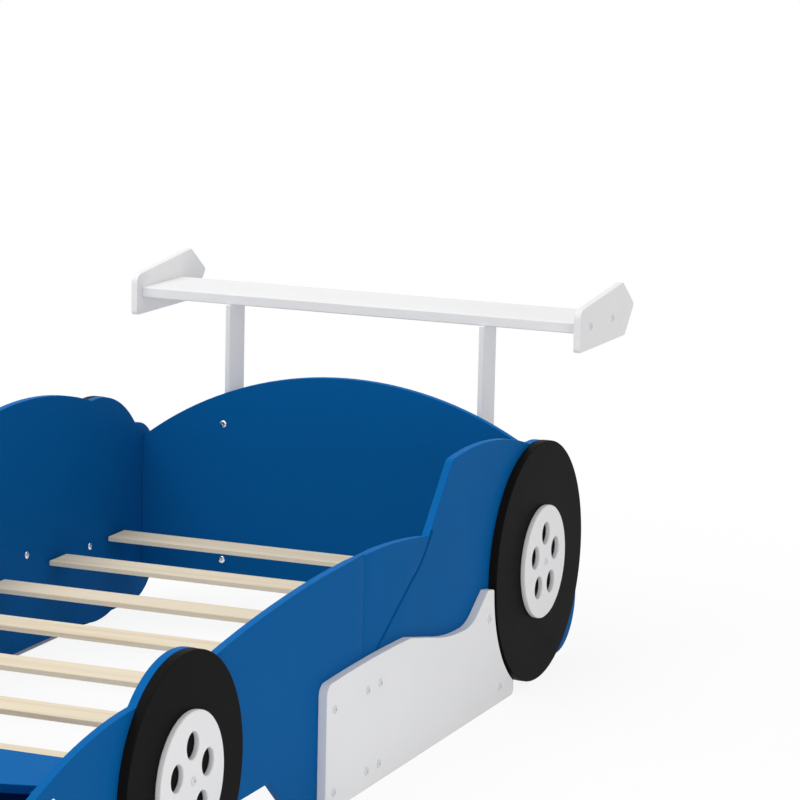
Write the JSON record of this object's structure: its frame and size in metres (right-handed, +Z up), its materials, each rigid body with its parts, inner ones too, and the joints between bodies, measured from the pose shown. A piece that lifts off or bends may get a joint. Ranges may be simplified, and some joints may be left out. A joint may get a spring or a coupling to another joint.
{
  "type": "car bed for children",
  "caption": "Child's single bed shaped like an open race car, with flat board sides, disc wheels, an arched headboard, bare slats, a nose bin and a rear wing on posts.",
  "frame": {"origin": "on the floor, under the middle of the whole bed from nose to wing tips", "axes": "+Z up, the car's nose towards -Y, +X towards the car's own left side"},
  "size_m": [1.0984, 2.7728, 0.7767],
  "materials": {
    "blue_paint": "satin paint on fibreboard",
    "white_paint": "satin paint on fibreboard",
    "black_paint": "satin paint on fibreboard",
    "bare_pine": "planed, bare",
    "beech": "turned, bare",
    "bright_steel": "bright zinc plate",
    "white_steel": "pale satin lacquer"
  },
  "bodies": {
    "root": {"bin_floor": "blue_paint", "bumper_bolts": "bright_steel", "corner_screws": "bright_steel", "footboard": "blue_paint", "front_bumper": "blue_paint", "front_deck": "blue_paint", "headboard": "blue_paint", "hub_bolts": "white_steel", "hub_front_left": "white_paint", "hub_front_right": "white_paint", "hub_rear_left": "white_paint", "hub_rear_right": "white_paint", "inner_bolts": "bright_steel", "nose_bolts": "bright_steel", "nose_cleat_left": "blue_paint", "nose_cleat_right": "blue_paint", "plate_bolts": "white_steel", "post_bolts": "bright_steel", "seam_dowels": "beech", "side_panel_front_left": "blue_paint", "side_panel_front_right": "blue_paint", "side_panel_rear_left": "blue_paint", "side_panel_rear_right": "blue_paint", "skirt_bolts_left": "white_steel", "skirt_bolts_right": "white_steel", "skirt_left": "white_paint", "skirt_right": "white_paint", "slat_1": "bare_pine", "slat_2": "bare_pine", "slat_3": "bare_pine", "slat_4": "bare_pine", "slat_5": "bare_pine", "slat_6": "bare_pine", "slat_7": "bare_pine", "slat_pins_left": "bright_steel", "slat_pins_right": "bright_steel", "spoiler_plate_left": "white_paint", "spoiler_plate_right": "white_paint", "spoiler_post_left": "white_paint", "spoiler_post_right": "white_paint", "spoiler_wing": "white_paint", "wheel_front_left": "black_paint", "wheel_front_right": "black_paint", "wheel_rear_left": "black_paint", "wheel_rear_right": "black_paint", "wing_dowels": "beech"}
  },
  "joints": []
}
